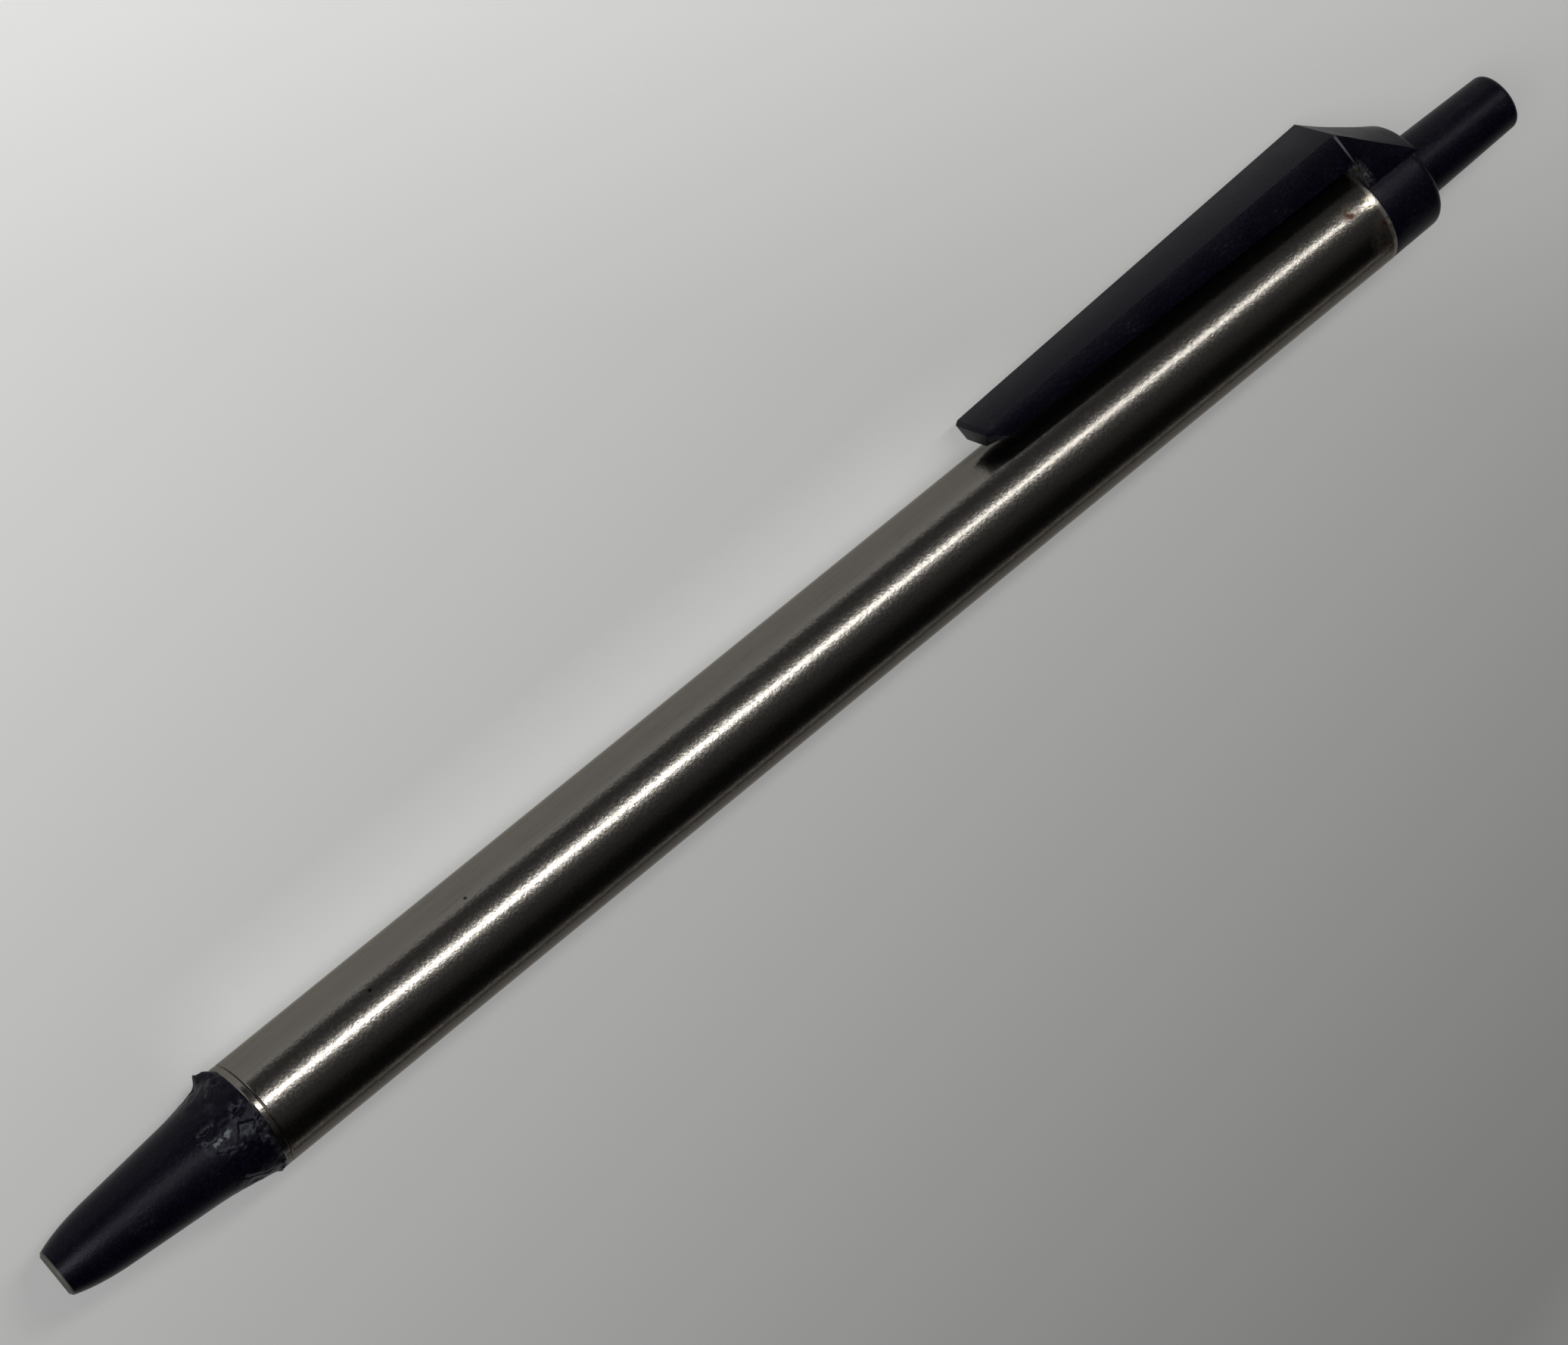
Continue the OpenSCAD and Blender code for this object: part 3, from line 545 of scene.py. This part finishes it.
# %% [markdown]
# The outsides of the barrel and of the nose cone are both turned shapes: one outline, swept round the pen's
# axis. A cylinder could be squeezed into them ring by ring, but drawing the outline first keeps every radius
# readable. So one point is pulled along the outline with Extrude, and Spin sweeps the line round.

# %% Helpers for turned shapes
def at(z):
    """Metres along the pen for a distance in mm behind the mouth."""
    return MOUTH_X + z * MM


def turned(name, outline, sides):
    """Extrudes one point along an outline of (mm behind the mouth, mm radius) and spins it round the axis."""
    bpy.ops.object.select_all(action="DESELECT")
    bpy.ops.mesh.primitive_plane_add(size=MM)
    piece = bpy.context.object
    piece.name = piece.data.name = name
    places = [Vector((at(z), 0, r * MM)) for z, r in outline]
    bpy.ops.object.mode_set(mode="EDIT")
    bpy.ops.mesh.merge(type="CENTER")
    bpy.ops.transform.translate(value=places[0])
    for here, there in zip(places, places[1:]):
        bpy.ops.mesh.extrude_region_move(TRANSFORM_OT_translate={"value": there - here})
    bpy.ops.mesh.select_all(action="SELECT")
    bpy.ops.mesh.spin(steps=sides, angle=2 * pi, center=(0, 0, 0), axis=(1, 0, 0))
    bpy.ops.mesh.select_all(action="SELECT")
    bpy.ops.mesh.remove_doubles(threshold=0.002 * MM)
    bpy.ops.mesh.normals_make_consistent(inside=False)
    bpy.ops.object.mode_set(mode="OBJECT")
    bpy.ops.object.shade_smooth_by_angle(angle=radians(32))
    return piece


def polar(point):
    """(mm behind the mouth, degrees from straight up towards +Y, mm radius) of a vertex."""
    return (point.x - MOUTH_X) / MM, degrees(atan2(point.y, point.z)), hypot(point.y, point.z) / MM


def set_radius(vertex, radius):
    """Moves a vertex in or out along its own radius."""
    scale = radius * MM / hypot(vertex.co.y, vertex.co.z)
    vertex.co.y *= scale
    vertex.co.z *= scale


def settle(piece, node, body):
    """Hides the solid that a piece stands for and hangs the piece on the body that it moves with."""
    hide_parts(node)
    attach(piece, body)
    print(piece.name, "has", len(piece.data.polygons), "faces")


print("mouth at", round(at(0) / MM, 2), "mm along the pen")

# %% [markdown]
# The barrel is a thin steel tube. Its nose end is rolled to a narrow lip with a fine groove behind it, and
# the other end is cut square with the sharp edge taken off. Rings stand close together at the cap's end,
# because that end has been knocked: small dents there catch the light.

# %% Barrel
TUBE_FROM, TUBE_TO, TUBE_BORE, TUBE_ARC = 17.4, 126.25, 3.85, 0.074
FINE_FROM, FINE_STEP, FINE_RINGS = 119, 0.24, 29
# Rows of knocks: mm behind the mouth, degrees, mm length, mm width, mm depth.
KNOCKS = [(122.5, 43, 0.5, 0.4, 0.014), (125.5, 44, 0.7, 0.8, 0.024), (124.3, 60, 0.4, 0.5, 0.010)]

outline = [(TUBE_FROM, TUBE_BORE), (TUBE_FROM, 4.13), (17.45, 4.20), (17.52, TUBE_R),
           (17.88, TUBE_R), (17.94, 4.21), (18.0, 4.15), (18.06, 4.21), (18.12, TUBE_R)]
outline += [(z, TUBE_R) for z in (19, 24, 32, 42, 54, 66, 78, 90, 102, 111, 116, FINE_FROM)]
outline += [(FINE_FROM + FINE_STEP * i, TUBE_R) for i in range(1, FINE_RINGS + 1)]
outline += [(126.13, TUBE_R), (126.21, 4.21), (TUBE_TO, 4.13), (TUBE_TO, TUBE_BORE),
            (70, TUBE_BORE), (TUBE_FROM, TUBE_BORE)]
barrel = turned("barrel_shell", outline, 192)


def knocked(z, angle):
    """How deep the knocks are at a point of the tube, in mm; TUBE_ARC is mm per degree round it."""
    return sum(depth * exp(-((z - row_z) / length) ** 2 - ((angle - row_angle) * TUBE_ARC / width) ** 2)
               for row_z, row_angle, length, width, depth in KNOCKS)


for vertex in barrel.data.vertices:
    z, angle, radius = polar(vertex.co)
    if z > FINE_FROM - 1 and radius > 4.0:
        set_radius(vertex, radius - knocked(z, angle))
wear(barrel, steel)
settle(barrel, "barrel_tube", "body")

# %% [markdown]
# The nose cone is a hollow moulding: a rounded front, a long taper and a flare out to the tube. It is turned
# like the barrel, but its outline is split into steps of about a tenth of a millimetre, so that the tooth
# marks have points to move.

# %% Nose cone
def bow(start, slope, end, steps):
    """Points of a circular arc that leaves start at a slope in degrees and passes through end."""
    run, rise = end[0] - start[0], end[1] - start[1]
    chord, half = hypot(run, rise), atan2(rise, run) - radians(slope)
    points = []
    for i in range(1, steps + 1):
        reach = chord * sin(half * i / steps) / sin(half)
        course = radians(slope) + half * i / steps
        points.append((start[0] + reach * cos(course), start[1] + reach * sin(course)))
    return points


def straight(start, end, steps):
    """Points of a straight line from start, which is left out, to end."""
    return [(start[0] + (end[0] - start[0]) * i / steps, start[1] + (end[1] - start[1]) * i / steps)
            for i in range(1, steps + 1)]


def mirrored(points):
    """The same points in front of the mouth's plane put behind it, from the last to the first."""
    return [(-z, r) for z, r in reversed(points)]


OGIVE, WAIST, FLARE, RIM = (5, 2.73), (12, 3.3264), (16, 3.982), (17.4, 4.15)
FRONT, LIP, BORE_R = (-0.2, 1.82), (0, 1.62), 1.22
taper = degrees(atan2(WAIST[1] - OGIVE[1], WAIST[0] - OGIVE[0]))
front = bow((-OGIVE[0], OGIVE[1]), -taper, FRONT, 40)
edge = bow(FRONT, -65, LIP, 5)
outline = [(0, BORE_R)] + mirrored(edge) + mirrored(front) + [OGIVE]
outline += straight(OGIVE, WAIST, 50) + bow(WAIST, taper, FLARE, 44) + bow(FLARE, 13, RIM, 16)
outline += [(17.4, 3.82), (25.9, 3.82), (26.4, 3.32), (26.4, 2.55), (17.8, 2.55), (16.8, 2.1), (6.2, 2.1),
            (6.2, 1.52), (5.4, BORE_R), (0, BORE_R)]
nose = turned("chewed_nose", outline, 256)
print("nose cone before its marks:", len(nose.data.vertices), "points")

# %% [markdown]
# Teeth leave four kinds of marks in hard plastic: dents that push it in, burrs that are squeezed out, cuts
# that slice a slanting facet, and creases with a ridge beside a furrow. A sculptor would use four brushes;
# here each mark is a row of numbers, because then the same marks come out every time.

# %% Rows of tooth marks
# Dents and burrs: mm behind the mouth, degrees from straight up, mm length, mm width, mm depth or height.
DENTS = [(16.75, 90, 0.24, 0.24, 0.22), (16.4, 47, 0.30, 0.26, 0.28), (13.9, 51, 0.50, 0.34, 0.32),
         (15.2, 66, 0.5, 0.3, 0.08), (14.5, 82, 0.5, 0.5, 0.06), (16.9, 74, 0.3, 0.4, 0.10),
         (15.6, 8, 0.6, 0.35, 0.05), (12.6, 62, 0.5, 0.3, 0.04), (15.0, -40, 0.5, 0.4, 0.12),
         (16.3, -62, 0.4, 0.5, 0.16), (14.2, -95, 0.7, 0.4, 0.10), (16.2, -130, 0.45, 0.4, 0.16),
         (15.4, 160, 0.6, 0.45, 0.15), (16.6, -165, 0.35, 0.5, 0.15), (13.4, 140, 0.6, 0.4, 0.07)]
BURRS = [(16.35, 124, 0.38, 0.46, 0.62), (16.78, 116, 0.34, 0.46, 0.46), (17.1, 107, 0.24, 0.4, 0.36),
         (16.35, 57, 0.16, 0.14, 0.14), (16.05, 55, 0.14, 0.16, 0.18), (15.92, 49, 0.12, 0.18, 0.16),
         (15.98, 43, 0.16, 0.14, 0.14), (17.0, 54, 0.12, 0.14, 0.14), (14.62, 57, 0.24, 0.10, 0.10),
         (13.4, 57, 0.14, 0.14, 0.08), (16.5, -72, 0.25, 0.3, 0.14), (16.7, 170, 0.2, 0.4, 0.12)]
# Cuts: as dents, then the way in which the cut deepens, in degrees, and how pale it is.
CUTS = [(16.15, 28, 0.50, 0.56, 0.12, 62, 0.14), (14.98, 36, 0.22, 0.36, 0.10, 120, 0.9),
        (14.05, 35, 0.20, 0.48, 0.11, 100, 1.0), (13.2, 35, 0.4, 0.2, 0.03, 60, 0.05),
        (15.2, 72, 0.5, 0.4, 0.05, 40, 0.05), (16.8, 12, 0.3, 0.4, 0.06, 170, 0.1),
        (16.0, -105, 0.6, 0.6, 0.10, 30, 0.3), (15.2, 120, 0.6, 0.35, 0.09, -25, 0.2)]
# Creases: both ends (mm behind the mouth, degrees), mm width, mm height.
CREASES = [((13.8, 25), (15.3, 16), 0.08, 0.08), ((13.1, 45), (14.2, 39), 0.08, 0.05),
           ((15.6, 84), (16.6, 100), 0.10, 0.06), ((14.4, -20), (16.0, -32), 0.10, 0.05),
           ((13.6, -150), (15.4, -140), 0.12, 0.06)]
print("marks:", len(DENTS), "dents,", len(BURRS), "burrs,", len(CUTS), "cuts,", len(CREASES), "creases")

# %% [markdown]
# Each kind of mark has its own shape across the surface. A dent or a burr is a bell, a cut is a flat facet
# that ends at a step, and a crease is a ridge next to a furrow. So each kind is a small function of where a
# point is, and tells how far the point moves and how pale it gets, as bruised plastic and painted glint.

# %% Shapes of the marks
BURR_PALE, CREASE_PALE, FURROW = 0.06, 0.2, 1.8


def unit(value):
    """A number held between 0 and 1."""
    return min(1.0, max(0.0, value))


def arc(angle, other, radius):
    """mm along the surface from one angle to another, the short way round."""
    return ((angle - other + 180) % 360 - 180) * radians(radius)


def bells(rows, z, angle, radius):
    """The rows' depths or heights at a point with their falling off, and how near it is to a middle."""
    shares = [(size, exp(-((z - row_z) / length) ** 2 - (arc(angle, row_angle, radius) / width) ** 2))
              for row_z, row_angle, length, width, size in rows]
    return sum(size * share for size, share in shares), max(share for size, share in shares)


def facets(z, angle, radius):
    """How deep the cuts go at a point, and how pale they leave it."""
    deep = pale = 0.0
    for row_z, row_angle, length, width, depth, turn, paleness in CUTS:
        along, across, lean = z - row_z, arc(angle, row_angle, radius), radians(turn)
        along, across = along * cos(lean) + across * sin(lean), across * cos(lean) - along * sin(lean)
        inside = 1 - max(abs(along) / length, abs(across) / width)
        if inside > 0:
            deep += depth * (1 + along / length) * min(1.0, inside * 6)
            pale = max(pale, paleness * min(1.0, inside * 3))
    return deep, pale


def ridges(z, angle, radius):
    """How far the creases lift a point, and how pale they leave it."""
    lift = pale = 0.0
    for (z1, a1), (z2, a2), width, height in CREASES:
        run, rise = z2 - z1, (a2 - a1) * radians(radius)
        along, across = z - z1, arc(angle, a1, radius)
        part = unit((along * run + across * rise) / (run * run + rise * rise))
        off = hypot(along - part * run, across - part * rise)
        side = off if along * rise - across * run > 0 else -off
        lift += height * (exp(-(side / width) ** 2) - exp(-((side - FURROW * width) / width) ** 2))
        pale = max(pale, CREASE_PALE * exp(-(off / width) ** 2))
    return lift, pale


print("first dent is", round(bells(DENTS, 16.75, 90, 4.1)[0], 2), "mm deep")

# %% [markdown]
# At any one point all these marks add up. A little noise bends them, so that no edge is straight, and
# roughens the chewed end between them. At the rim a fringe of plastic is squeezed against the tube.

# %% All marks at one point
ASIDE = Vector((9, 4, 2))
CHEWED_FROM, CHEWED_OVER = 12.8, 1.6
FRINGE_FROM, FRINGE_HIGH, FRINGE_PALE = 16.85, 0.24, 0.08


def marked(z, angle, radius):
    """The radius that the marks leave at a point of the nose, and how pale it is there: bruised plastic and
    painted glint.
    """
    spot = Vector((z, radius * cos(radians(angle)), radius * sin(radians(angle))))
    burr, near = bells(BURRS, z, angle, radius)
    lumpy = 0.85 + 0.5 * noise.noise(spot * 2.1)
    ragged = 0.8 + 0.6 * noise.noise(spot * 4)
    z += 0.12 * noise.noise(spot * 1.9) + 0.11 * noise.noise(spot * 4.3)
    bend = 0.12 * noise.noise(spot * 1.9 + ASIDE) + 0.11 * noise.noise(spot * 4.3 + ASIDE)
    angle += bend / radians(radius)

    dent = bells(DENTS, z, angle, radius)[0]
    cut, cut_pale = facets(z, angle, radius)
    ridge, ridge_pale = ridges(z, angle, radius)
    rough = 0.04 * noise.noise(spot * 1.7) + 0.018 * noise.noise(spot * 5)
    lift = burr * lumpy - dent - cut + ridge * ragged + unit((z - CHEWED_FROM) / CHEWED_OVER) * rough
    # Paleness from bruising and painted glint.
    bruise_and_glint = max(BURR_PALE * near, cut_pale, ridge_pale)
    if -60 < angle < 32 and z > FRINGE_FROM:
        fringe = max(0.0, noise.noise(Vector((angle * 0.16, z * 1.5, 3.1))) + 0.25)
        lift += FRINGE_HIGH * fringe * min(1.0, (z - FRINGE_FROM) / 0.2)
        bruise_and_glint = max(bruise_and_glint, FRINGE_PALE * fringe)
    return radius + lift, bruise_and_glint


print("radius in the second dent", round(marked(16.4, 47, 4.0)[0], 2), "mm instead of 4.0")

# %% [markdown]
# The marks are now put on the nose's points, and how pale each point is, as bruised plastic and painted
# glint, goes into the attribute "bite".
# Right at the rim they count half, because the tube stands behind it. Points past KEEP_R are held there, in
# height both ways and sideways towards -Y. No point may leave the box of the CAD model, so points past it
# are held at KEEP_R.

# %% Marks on the nose
KEEP_R = 4.24

bites = nose.data.attributes.new("bite", "FLOAT", "POINT")
for vertex in nose.data.vertices:
    z, angle, radius = polar(vertex.co)
    if 11.5 < z < RIM[0] + 0.01 and radius > 3.0:
        hold = 1.0 if z < RIM[0] - 0.1 else 0.5
        new_radius, bruise_and_glint = marked(z, angle, radius)
        set_radius(vertex, radius + (new_radius - radius) * hold)
        vertex.co.z = max(-KEEP_R * MM, min(KEEP_R * MM, vertex.co.z))
        vertex.co.y = max(-KEEP_R * MM, vertex.co.y)
        bites.data[vertex.index].value = bruise_and_glint
print("bitten points:", sum(1 for bite in bites.data if bite.value > 0.1))

# %% [markdown]
# The mouth is worn at a slant: its side towards the paper is shorter by half a millimetre. Points near the
# mouth slide back along the pen, more on that side and less further from the mouth. The edge itself is
# made paler, and a second attribute tells the finish where.

# %% Worn mouth
WORN_SIDE, WORN_BACK, WORN_REACH = 215, 0.62, 3
PALE_TO, PALE_SOFT = 0.42, 0.12

pale_mouth_edge = nose.data.attributes.new("pale_mouth_edge", "FLOAT", "POINT")
for vertex in nose.data.vertices:
    z, angle, radius = polar(vertex.co)
    if z < WORN_REACH:
        # The edge is made paler near the mouth.
        pale_mouth_edge.data[vertex.index].value = unit((PALE_TO - z) / PALE_SOFT)
        share = 0.5 + 0.5 * radius / FRONT[1] * cos(radians(angle - WORN_SIDE))
        vertex.co.x += WORN_BACK * MM * share * (1 - z / WORN_REACH) ** 2
wear(nose, black_bitten)
settle(nose, "nose_cone", "body")

# %% [markdown]
# Cap and clip are one moulding with crisp, slightly rounded edges. Its faces come from the CAD model, which
# already has the right shape: a copy is merged into whole faces, and a Bevel modifier rounds every corner
# a little, which is less work than drawing the clip again.

# %% Cap with clip
SHARP = radians(24)

bpy.ops.object.select_all(action="DESELECT")
clip = nodes["clip_cap"].copy()
clip.data = nodes["clip_cap"].data.copy()
clip.name = clip.data.name = "cap_with_clip"
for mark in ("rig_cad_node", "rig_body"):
    if mark in clip:
        del clip[mark]
bpy.context.scene.collection.objects.link(clip)
clip.parent = None
bpy.context.view_layer.objects.active = clip
clip.select_set(True)
bpy.ops.object.mode_set(mode="EDIT")
bpy.ops.mesh.select_all(action="SELECT")
bpy.ops.mesh.customdata_custom_splitnormals_clear()
bpy.ops.mesh.remove_doubles(threshold=0.001 * MM)
bpy.ops.mesh.dissolve_limited(angle_limit=radians(0.5))
bpy.ops.object.mode_set(mode="OBJECT")
soft = clip.modifiers.new("soft_edges", "BEVEL")
soft.width = 0.09 * MM
soft.segments = 2
soft.limit_method = "ANGLE"
soft.angle_limit = SHARP
bpy.ops.object.modifier_apply(modifier=soft.name)
bpy.ops.object.shade_smooth_by_angle(angle=SHARP)
wear(clip, black)
settle(clip, "clip_cap", "body")

# %% [markdown]
# The return spring is one length of steel wire. A small circle is the wire's section, and a Screw modifier
# winds it. Each ring is then slid along the axis, because the last turns of a real spring lie closer.

# %% Spring
WIND_FROM, WIND_TO, TURNS, COIL_R, WIRE_R, START = 6.45, 26.75, 11, 1.75, 0.2, radians(-93)
WIRE_SIDES, TURN_STEPS, CLOSER = 12, 28, 0.45

bpy.ops.object.select_all(action="DESELECT")
bpy.ops.mesh.primitive_circle_add(vertices=WIRE_SIDES, radius=WIRE_R * MM, rotation=(START, 0, 0),
                                  location=(0, COIL_R * cos(START) * MM, COIL_R * sin(START) * MM))
spring = bpy.context.object
spring.name = spring.data.name = "spring_wire"
bpy.ops.object.transform_apply(location=True, rotation=True, scale=True)
wind = spring.modifiers.new("wind", "SCREW")
wind.axis = "X"
wind.angle = 2 * pi * TURNS
wind.steps = wind.render_steps = TURN_STEPS * TURNS
bpy.ops.object.modifier_apply(modifier=wind.name)
rings = len(spring.data.vertices) // WIRE_SIDES
for vertex in spring.data.vertices:
    part = (vertex.index // WIRE_SIDES) / (rings - 1)
    part -= CLOSER * sin(2 * pi * part) / (2 * pi)
    vertex.co.x += at(WIND_FROM + (WIND_TO - WIND_FROM) * part)
bpy.ops.object.mode_set(mode="EDIT")
bpy.ops.mesh.select_all(action="SELECT")
bpy.ops.mesh.fill_holes(sides=0)
bpy.ops.mesh.normals_make_consistent(inside=False)
bpy.ops.object.mode_set(mode="OBJECT")
bpy.ops.object.shade_smooth_by_angle(angle=radians(40))
wear(spring, wire)
settle(spring, "return_spring", "body")
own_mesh(spring)

# %% [markdown]
# The other solids already have the right shape, so they only get their finishes.

# %% Finishes on the solids
DRESS = {"push_button": black, "guide_sleeve": acetal, "plunger": acetal, "cam_rotor": acetal,
         "tip_holder": acetal, "ink_tube": clear, "ink_column": ink, "grease_follower": grease,
         "point_cone": brass, "writing_ball": carbide}
for name, material in DRESS.items():
    wear(nodes[name], material)
print(len(DRESS), "solids dressed")
